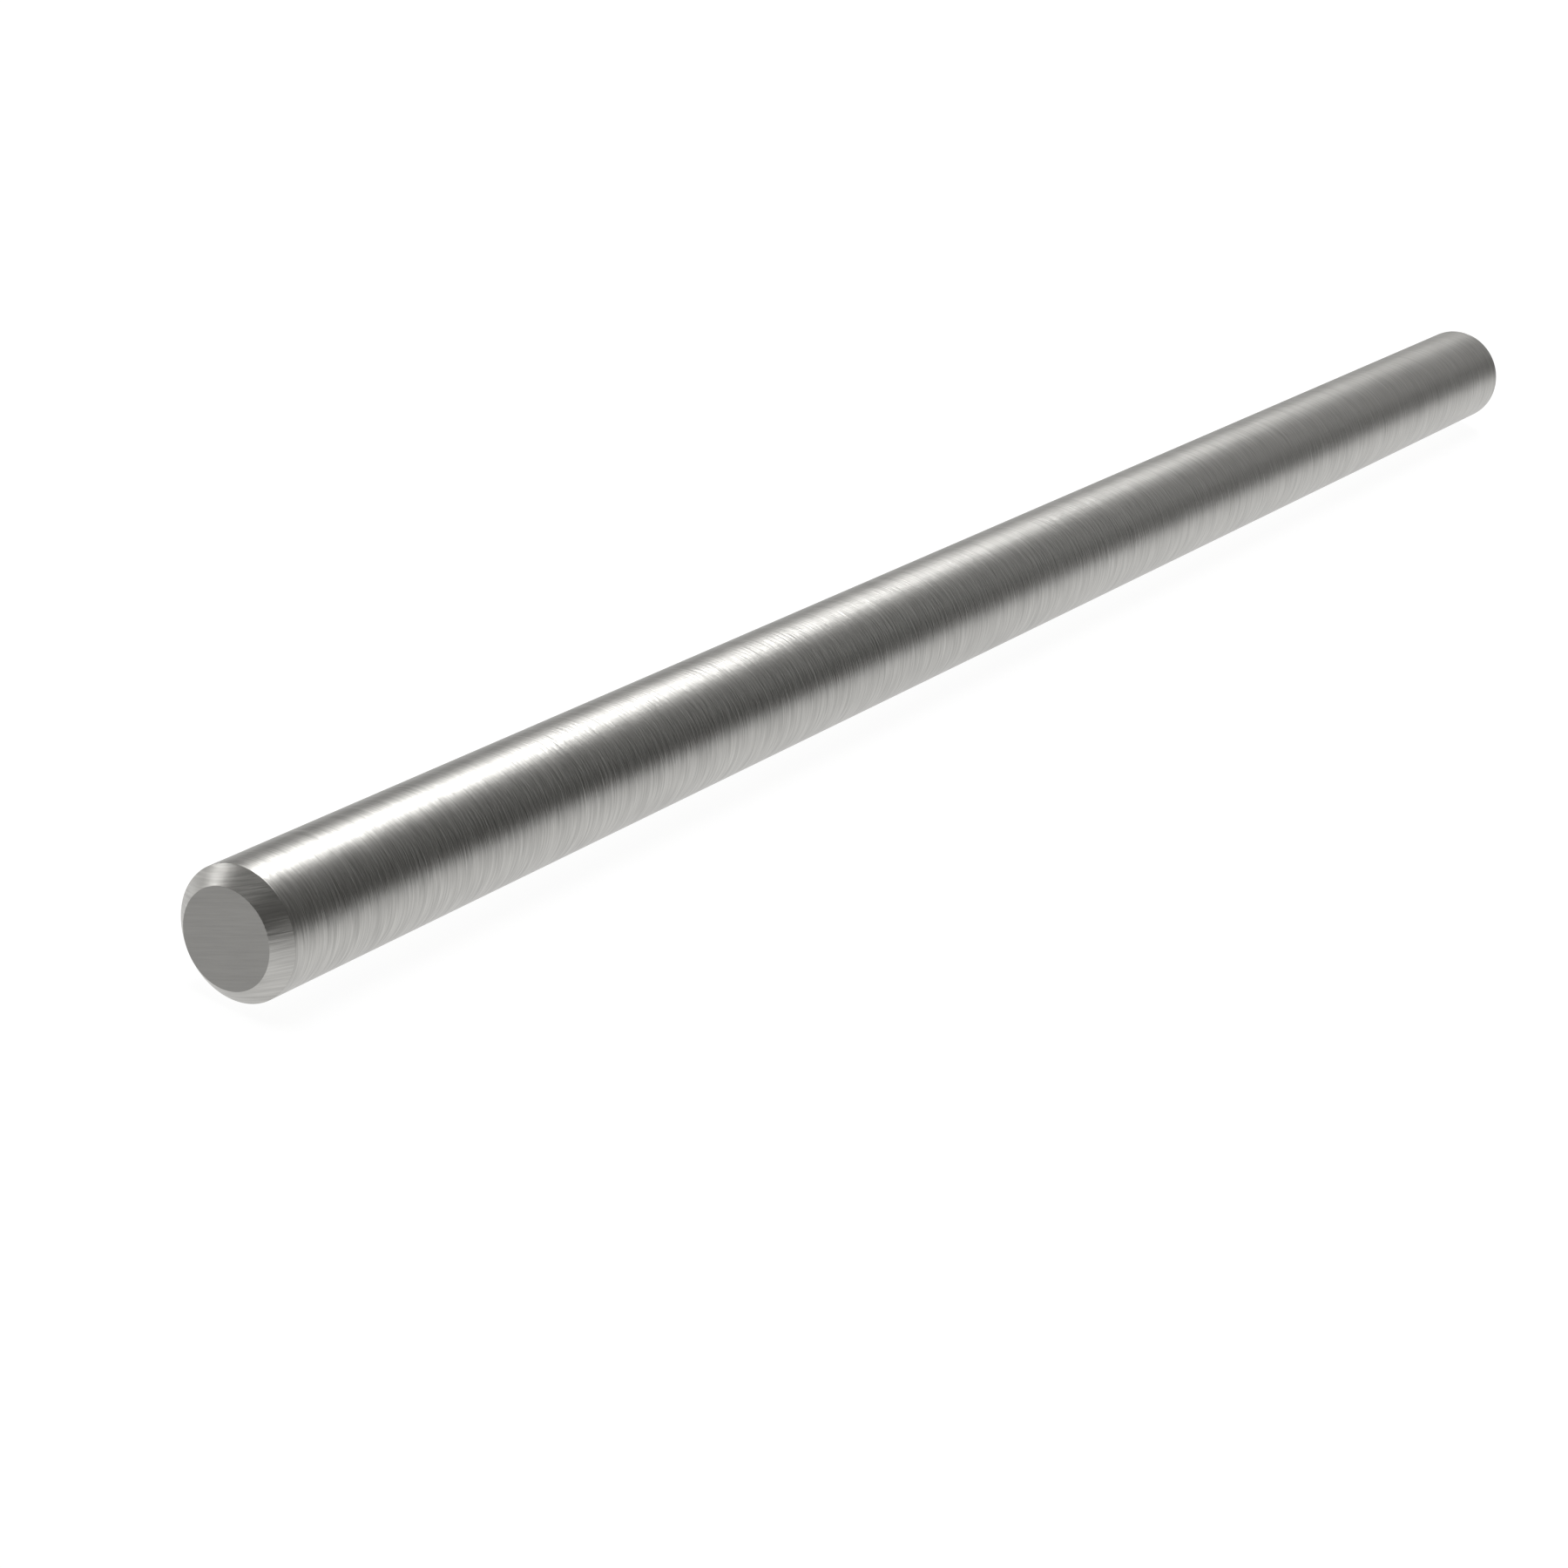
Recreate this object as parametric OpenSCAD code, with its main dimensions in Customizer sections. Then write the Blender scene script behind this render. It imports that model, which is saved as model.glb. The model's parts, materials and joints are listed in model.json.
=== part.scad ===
// Round stainless steel rod with a turned chamfer on each end.
// It lies along X, with the middle of its axis at the origin.

/* [Bar] */
// Diameter of the bar
bar_d = 16; // [6:0.5:60]
// Overall length, from end face to end face
bar_len = 350; // [100:5:2000]

/* [Ends] */
// Width of the chamfer, measured along the end face's radius
chamfer_w = 2; // [0.2:0.1:2.8]
// Angle between the chamfer and the bar's axis, in degrees
chamfer_angle = 45; // [30:1:60]

/* [Hidden] */
$fn = 128;
bar_r = bar_d / 2;
half_len = bar_len / 2;
end_face_r = bar_r - chamfer_w;
chamfer_len = chamfer_w / tan(chamfer_angle);
shank_end = half_len - chamfer_len;

// Half of the bar's lengthwise section: radius along X, length along Y
module half_section() {
  polygon([
    [0, -half_len],
    [end_face_r, -half_len],
    [bar_r, -shank_end],
    [bar_r, shank_end],
    [end_face_r, half_len],
    [0, half_len]
  ]);
}

// The bar, turned about its own axis and laid down on its side
module rod() {
  color("silver")
    rotate([90, 0, 90])
      rotate_extrude()
        half_section();
}

rod();
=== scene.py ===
"""A brushed stainless steel rod with turned, chamfered ends, lying on a white studio floor."""

import json
import math

import bpy
from mathutils import Matrix, Vector


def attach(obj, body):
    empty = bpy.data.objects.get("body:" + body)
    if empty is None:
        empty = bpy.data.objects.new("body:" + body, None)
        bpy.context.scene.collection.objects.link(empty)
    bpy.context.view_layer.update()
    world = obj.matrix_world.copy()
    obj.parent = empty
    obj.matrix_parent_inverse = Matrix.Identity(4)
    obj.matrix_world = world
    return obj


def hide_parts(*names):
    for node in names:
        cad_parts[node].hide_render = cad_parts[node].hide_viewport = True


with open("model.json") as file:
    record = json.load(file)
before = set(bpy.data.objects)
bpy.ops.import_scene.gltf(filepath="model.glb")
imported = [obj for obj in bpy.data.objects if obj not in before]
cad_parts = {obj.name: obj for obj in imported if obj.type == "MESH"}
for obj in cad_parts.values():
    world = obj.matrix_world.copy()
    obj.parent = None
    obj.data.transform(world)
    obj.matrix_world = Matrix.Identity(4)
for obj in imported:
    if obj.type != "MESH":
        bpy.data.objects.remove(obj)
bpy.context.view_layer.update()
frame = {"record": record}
mounts = {mount["name"]: mount for mount in frame["record"]["mounts"]}

MM = 0.001

# The rod, from the frame
ROD_R = mounts["shank"]["dims"]["r_mm"] * MM
SHANK_LEN = mounts["shank"]["dims"]["length_mm"] * MM
HALF_LEN = mounts["end_face_far"]["pos_m"][0]
CHAMFER = HALF_LEN - SHANK_LEN / 2  # the same along the axis and the radius, at 45 degrees
FACE_R = ROD_R - CHAMFER
NEAR_END = Vector((-HALF_LEN, 0, 0))
FAR_END = Vector((HALF_LEN, 0, 0))

# The mesh
EDGE_R = 0.1 * MM  # the small round that turning and brushing leave on each edge
EDGE_STEPS = 4
SIDES = 192
FACE_RINGS = 4
STRIPS = 3  # the shank is unwrapped in this many lengths
STRIP_BANDS = 24
SHEET_GAP = 1 * MM  # free space round each island of the unwrapped sheet
DISC_SPREAD = 1.2  # from the sheet's middle to the middle of each end's disc, in discs

# Angles of the lengthwise section's normals, from +X towards the outside
NEAR_FACE = math.radians(180)
NEAR_CHAMFER = math.radians(135)
SIDE = math.radians(90)
FAR_CHAMFER = math.radians(45)
FAR_FACE = 0.0

# The steel, and the numbers of its three finishes
STEEL = (0.48, 0.473, 0.455)
# The end faces' colour: darker than the steel by painted shade, standing in for the dim reflection
# they show
FACE_STEEL_SHADED = (0.335, 0.33, 0.318)
SHANK_FINISH = 0
CHAMFER_FINISH = 1
FACE_FINISH = 2

# The brush lines
END_LINES_TURN = math.radians(24)  # how far the lines across the ends lean from the level
LINE_WANDER = 0.3  # how far a line strays from straight
RELIEF_DETAIL = 2.0
TONE_DETAIL = 1.0
PATCH_DETAIL = 1.0
PATCH_SCALE = 0.23  # how close duller and glossier patches lie, where the lines are 1
PATCH_SWING = 0.02  # how far their roughness strays, as a share
NOISE_LOW = 0.3  # nearly all of a noise lies between these two
NOISE_HIGH = 0.7

# The camera, fitted to the rod's edges in the photograph. A round bar looks the same at any turn
# about its axis, so the roll is the one that puts the floor's mirror image where it is seen.
LENS = 85.89
SENSOR = 36.0
HEADING = math.radians(27.30)
PITCH = math.radians(24.46)
ROLL = math.radians(12.13)
NEAR_END_SEEN = Vector((-60.17, -16.73, 403.29)) * MM  # to the right, up and forward of the camera

# The studio
FLOOR_SIZE = 16.0
FLOOR_MATT = 0.15  # the share of the lamps' light that the floor gives back, which shows the shadow
FLOOR_GLOW = 0.94  # what the camera and the steel see of the floor besides, to make it white
WALL_TINT = (1, 0.98, 0.92, 1)
DARK_WALL = 0.05
PALE_WALL = 0.12
PALE_WALL_HEADING = math.radians(104)
WALL_FADE_FROM = 0.18  # cosines of the angle from that heading, between which the walls grow paler
WALL_FADE_TO = 1.1  # over 1, so that the palest level is never quite reached


def direction(azimuth, elevation):
    """Unit vector at an azimuth from +X towards +Y and an elevation above the floor, in degrees."""
    a = math.radians(azimuth)
    e = math.radians(elevation)
    return Vector((math.cos(a) * math.cos(e), math.sin(a) * math.cos(e), math.sin(e)))


def add_object(name, data):
    made = bpy.data.objects.new(name, data)
    bpy.context.scene.collection.objects.link(made)
    return made


def edge_rows(x, r, before, after):
    """Rows of the small round on an edge at (x, r), between faces with these normal angles."""
    middle = (before + after) / 2
    inset = EDGE_R / math.cos((before - after) / 2)
    centre_x = x - inset * math.cos(middle)
    centre_r = r - inset * math.sin(middle)
    rows = []
    for step in range(EDGE_STEPS + 1):
        angle = before + (after - before) * step / EDGE_STEPS
        rows.append((centre_x + EDGE_R * math.cos(angle), centre_r + EDGE_R * math.sin(angle), angle))
    return rows


def section_rows():
    """The lengthwise section from the near face's middle to the far one's, as (x, r, normal angle)."""
    rings = [FACE_R * ring / FACE_RINGS for ring in range(1, FACE_RINGS)]
    bands = STRIPS * STRIP_BANDS
    stations = [SHANK_LEN * (band / bands - 0.5) for band in range(1, bands)]
    rows = [(-HALF_LEN, r, NEAR_FACE) for r in rings]
    rows += edge_rows(-HALF_LEN, FACE_R, NEAR_FACE, NEAR_CHAMFER)
    rows += edge_rows(-SHANK_LEN / 2, ROD_R, NEAR_CHAMFER, SIDE)
    rows += [(x, ROD_R, SIDE) for x in stations]
    rows += edge_rows(SHANK_LEN / 2, ROD_R, SIDE, FAR_CHAMFER)
    rows += edge_rows(HALF_LEN, FACE_R, FAR_CHAMFER, FAR_FACE)
    rows += [(HALF_LEN, r, FAR_FACE) for r in reversed(rings)]
    return rows


def turned_points(rows):
    """Points and normals of the section turned about X, with the two end faces' middles last."""
    points = []
    normals = []
    for x, r, angle in rows:
        for side in range(SIDES):
            turn = 2 * math.pi * side / SIDES
            outward = Vector((0, -math.cos(turn), math.sin(turn)))
            points.append(Vector((x, 0, 0)) + r * outward)
            normals.append(Vector((math.cos(angle), 0, 0)) + math.sin(angle) * outward)
    points += [NEAR_END, FAR_END]
    normals += [Vector((-1, 0, 0)), Vector((1, 0, 0))]
    return points, normals


def turned_faces(row_count):
    """Faces between the rows, and round the middle of each end face."""
    faces = []
    for row in range(row_count - 1):
        for side in range(SIDES):
            a = row * SIDES + side
            b = row * SIDES + (side + 1) % SIDES
            faces.append((a, a + SIDES, b + SIDES, b))
    last_row = (row_count - 1) * SIDES
    near_middle = row_count * SIDES
    far_middle = near_middle + 1
    for side in range(SIDES):
        after = (side + 1) % SIDES
        faces.append((near_middle, side, after))
        faces.append((far_middle, last_row + after, last_row + side))
    return faces


def build_rod():
    """The rod as a turned mesh, with exact normals and its unwrapped sheet."""
    rows = section_rows()
    points, normals = turned_points(rows)
    mesh = bpy.data.meshes.new("rod")
    mesh.from_pydata(points, [], turned_faces(len(rows)))
    mesh.shade_smooth()
    mesh.normals_split_custom_set_from_vertices(normals)
    dress_faces(mesh)
    return mesh


def turn_of(point):
    """How far round the bar a point lies from the -Y side upwards, as a share of a whole turn."""
    return math.atan2(point.z, -point.y) / (2 * math.pi) % 1


def sheet_place(point, turn, strip):
    """Where a point lies on the unwrapped sheet: the shank in strips, each end as a disc seen along X.

    The sheet's first axis runs along the bar on the shank, and up the ends, across the brushing."""
    girth = 2 * math.pi * ROD_R
    side = STRIPS * girth + (STRIPS + 1) * SHEET_GAP
    strip_len = SHANK_LEN / STRIPS + 2 * EDGE_R
    disc = side - strip_len - 3 * SHEET_GAP
    x, y, z = point
    if strip is not None:
        start = SHANK_LEN * (strip / STRIPS - 0.5) - EDGE_R
        along = SHEET_GAP + x - start
        across = SHEET_GAP + strip * (girth + SHEET_GAP) + turn * girth
    else:
        end = math.copysign(1, x)
        scale = disc / (2 * ROD_R)
        along = side - SHEET_GAP - disc / 2 + z * scale
        across = side / 2 + end * DISC_SPREAD * disc - end * y * scale
    return along / side, across / side


def dress_faces(mesh):
    """Sets each face's finish, and its place on the unwrapped sheet."""
    sheet = mesh.uv_layers.new(name="OFBake")
    for face in mesh.polygons:
        outward = math.hypot(face.center.y, face.center.z)
        strip = None
        if outward > ROD_R - EDGE_R / 2:
            face.material_index = SHANK_FINISH
            strip = min(STRIPS - 1, max(0, int((face.center.x / SHANK_LEN + 0.5) * STRIPS)))
        elif outward > FACE_R:
            face.material_index = CHAMFER_FINISH
        else:
            face.material_index = FACE_FINISH
        middle_turn = turn_of(face.center)
        for corner in face.loop_indices:
            point = mesh.vertices[mesh.loops[corner].vertex_index].co
            turn = turn_of(point)
            turn += round(middle_turn - turn)
            sheet.data[corner].uv = sheet_place(point, turn, strip)


class Nodes:
    """A node tree with short calls to add and join nodes."""

    def __init__(self, tree):
        self.tree = tree
        tree.nodes.clear()

    def add(self, kind, inputs=None, **settings):
        """Adds a node. Its inputs, by name or number, are joined to sockets or set to values."""
        node = self.tree.nodes.new(kind)
        for name, value in settings.items():
            setattr(node, name, value)
        for name, value in (inputs or {}).items():
            if isinstance(value, bpy.types.NodeSocket):
                self.tree.links.new(value, node.inputs[name])
            else:
                node.inputs[name].default_value = value
        return node

    def math(self, operation, first, second):
        return self.add("ShaderNodeMath", {0: first, 1: second}, operation=operation).outputs[0]

    def counted_in(self, place, sizes):
        """A place along X, Y and Z, counted in these sizes."""
        inputs = {0: place, 1: [1 / size for size in sizes]}
        return self.add("ShaderNodeVectorMath", inputs, operation="MULTIPLY").outputs[0]

    def noise(self, place, scale, detail, wander):
        inputs = {"Vector": place, "Scale": scale, "Detail": detail, "Distortion": wander}
        return self.add("ShaderNodeTexNoise", inputs).outputs["Fac"]

    def swing(self, noise, middle, share):
        """A number that follows a noise, up to a share above and below its middle value."""
        inputs = {
            "Value": noise,
            "From Min": NOISE_LOW,
            "From Max": NOISE_HIGH,
            "To Min": middle * (1 - share),
            "To Max": middle * (1 + share),
        }
        return self.add("ShaderNodeMapRange", inputs).outputs[0]


def brushed_steel(name, colour, cell, grain, turn, roughness, tone, relief):
    """Steel brushed in fine lines, on a bar turned about X by an angle.

    cell is the size of one line's relief along X, Y and Z, and grain is the size of one line's colour.
    tone is how far that colour strays, as a share, and relief is how high the lines stand."""
    material = bpy.data.materials.new(name)
    material.use_nodes = True
    n = Nodes(material.node_tree)

    place = n.add("ShaderNodeTexCoord").outputs["Object"]
    turned = n.add("ShaderNodeVectorRotate", {"Vector": place, "Angle": turn}, rotation_type="X_AXIS")
    in_cells = n.counted_in(turned.outputs[0], cell)
    in_grains = n.counted_in(turned.outputs[0], grain)
    lines = n.noise(in_cells, 1.0, RELIEF_DETAIL, LINE_WANDER)
    tones = n.noise(in_grains, 1.0, TONE_DETAIL, LINE_WANDER)
    patches = n.noise(in_cells, PATCH_SCALE, PATCH_DETAIL, wander=0.0)

    shade = n.swing(tones, 1.0, tone)
    steel = n.add("ShaderNodeVectorMath", {0: colour, "Scale": shade}, operation="SCALE")
    bump = n.add("ShaderNodeBump", {"Height": lines, "Distance": relief})
    shader = n.add(
        "ShaderNodeBsdfPrincipled",
        {
            "Base Color": steel.outputs[0],
            "Metallic": 1.0,
            "Roughness": n.swing(patches, roughness, PATCH_SWING),
            "Normal": bump.outputs[0],
        },
    )
    n.add("ShaderNodeOutputMaterial", {"Surface": shader.outputs[0]})
    return material


def shank_steel():
    """Lines that run round the bar."""
    return brushed_steel(
        "steel_shank",
        STEEL,
        cell=(0.45 * MM, 3 * MM, 3 * MM),
        grain=(0.26 * MM, 6 * MM, 6 * MM),
        turn=0,
        roughness=0.42,
        tone=0.15,
        relief=0.055 * MM,
    )


def end_steel(name, colour, roughness, tone, relief):
    """Straight lines across the end of the bar."""
    return brushed_steel(
        name,
        colour,
        cell=(6 * MM, 6 * MM, 0.4 * MM),
        grain=(6 * MM, 6 * MM, 0.26 * MM),
        turn=END_LINES_TURN,
        roughness=roughness,
        tone=tone,
        relief=relief,
    )


def chamfer_steel():
    return end_steel("steel_chamfer", STEEL, roughness=0.44, tone=0.12, relief=0.032 * MM)


def face_steel():
    """The flat end faces, duller than the rest, and darker by painted shade that stands in for their
    dim reflection.
    """
    return end_steel("steel_face", FACE_STEEL_SHADED, roughness=0.59, tone=0.04, relief=0.03 * MM)


def build_floor():
    """A wide white floor under the rod, which keeps its shadow."""
    half = FLOOR_SIZE / 2
    level = -ROD_R
    mesh = bpy.data.meshes.new("floor")
    corners = [(-half, -half, level), (half, -half, level), (half, half, level), (-half, half, level)]
    mesh.from_pydata(corners, [], [(0, 1, 2, 3)])
    mesh.materials.append(floor_white())
    floor = add_object("floor", mesh)


def floor_white():
    """Matt under the lamps, and white to the camera and in what the steel mirrors."""
    material = bpy.data.materials.new("floor_white")
    material.use_nodes = True
    n = Nodes(material.node_tree)
    matt = n.add("ShaderNodeBsdfDiffuse", {"Color": (FLOOR_MATT, FLOOR_MATT, FLOOR_MATT, 1)})
    path = n.add("ShaderNodeLightPath").outputs
    seen_or_mirrored = n.math("MAXIMUM", path["Is Camera Ray"], path["Is Glossy Ray"])
    seen_at_all = n.math("MAXIMUM", seen_or_mirrored, path["Is Transmission Ray"])
    strength = n.math("MULTIPLY", seen_at_all, FLOOR_GLOW)
    glow = n.add("ShaderNodeEmission", {"Color": (1, 1, 1, 1), "Strength": strength})
    both = n.add("ShaderNodeAddShader", {0: matt.outputs[0], 1: glow.outputs[0]})
    n.add("ShaderNodeOutputMaterial", {"Surface": both.outputs[0]})
    return material


def build_world():
    """Dark studio walls, paler on one side of the rod."""
    world = bpy.data.worlds.new("studio")
    bpy.context.scene.world = world
    world.use_nodes = True
    n = Nodes(world.node_tree)
    way = n.add("ShaderNodeTexCoord").outputs["Generated"]
    pale_way = (math.cos(PALE_WALL_HEADING), math.sin(PALE_WALL_HEADING), 0)
    facing = n.add("ShaderNodeVectorMath", {0: way, 1: pale_way}, operation="DOT_PRODUCT")
    level = n.add(
        "ShaderNodeMapRange",
        {
            "Value": facing.outputs["Value"],
            "From Min": WALL_FADE_FROM,
            "From Max": WALL_FADE_TO,
            "To Min": DARK_WALL,
            "To Max": PALE_WALL,
        },
        interpolation_type="SMOOTHSTEP",
    )
    wall = n.add("ShaderNodeBackground", {"Color": WALL_TINT, "Strength": level.outputs[0]})
    n.add("ShaderNodeOutputWorld", {"Surface": wall.outputs[0]})


def softbox(name, place, size, radiance, aim=Vector((0, 0, 0))):
    """A rectangular lamp turned towards a point, which the camera doesn't see.

    place is its azimuth and elevation in degrees and its distance from that point. size is its width
    and height. radiance is how bright it looks, where 1 is white."""
    azimuth, elevation, distance = place
    width, height = size
    lamp = bpy.data.lights.new(name, "AREA")
    lamp.shape = "RECTANGLE"
    lamp.size = width
    lamp.size_y = height
    lamp.energy = radiance * math.pi * width * height
    made = add_object(name, lamp)
    way = direction(azimuth, elevation)
    made.location = aim + way * distance
    made.visible_camera = False
    made.rotation_mode = "QUATERNION"
    made.rotation_quaternion = (-way).to_track_quat("-Z", "Y")


def build_lamps():
    """The key lamp makes the bright band, and the end lamp the gleam on the near chamfer."""
    softbox("key_lamp", place=(27, 41.5, 1.95), size=(0.58, 0.52), radiance=12.8, aim=NEAR_END)
    softbox("end_lamp", place=(103, 21.5, 1.0), size=(0.36, 0.24), radiance=5.6, aim=NEAR_END)
    softbox("panel_lamp", place=(-5, 22, 1.25), size=(0.83, 0.27), radiance=0.7)
    softbox("low_lamp", place=(-22, 10, 1.25), size=(0.35, 0.25), radiance=0.28)
    softbox("top_lamp", place=(120, 82, 1.6), size=(0.8, 0.8), radiance=5.4)


def build_camera():
    lens = bpy.data.cameras.new("camera")
    lens.sensor_width = SENSOR
    lens.lens = LENS
    camera = add_object("camera", lens)
    forward = Vector((
        math.cos(HEADING) * math.cos(PITCH),
        math.sin(HEADING) * math.cos(PITCH),
        -math.sin(PITCH),
    ))
    level_right = Vector((math.sin(HEADING), -math.cos(HEADING), 0))
    level_up = level_right.cross(forward)
    right = math.cos(ROLL) * level_right + math.sin(ROLL) * level_up
    up = right.cross(forward)
    turn = Matrix((right, up, -forward)).transposed()
    to_near_end = turn @ Vector((NEAR_END_SEEN.x, NEAR_END_SEEN.y, -NEAR_END_SEEN.z))
    camera.matrix_world = Matrix.Translation(NEAR_END - to_near_end) @ turn.to_4x4()
    bpy.context.scene.camera = camera


build_camera()
build_world()
build_lamps()
build_floor()

rod = add_object("brushed_rod", build_rod())
for finish in (shank_steel(), chamfer_steel(), face_steel()):  # in the order of their numbers
    rod.data.materials.append(finish)
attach(rod, "root")
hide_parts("rod")

bpy.context.scene.view_settings.view_transform = "Standard"
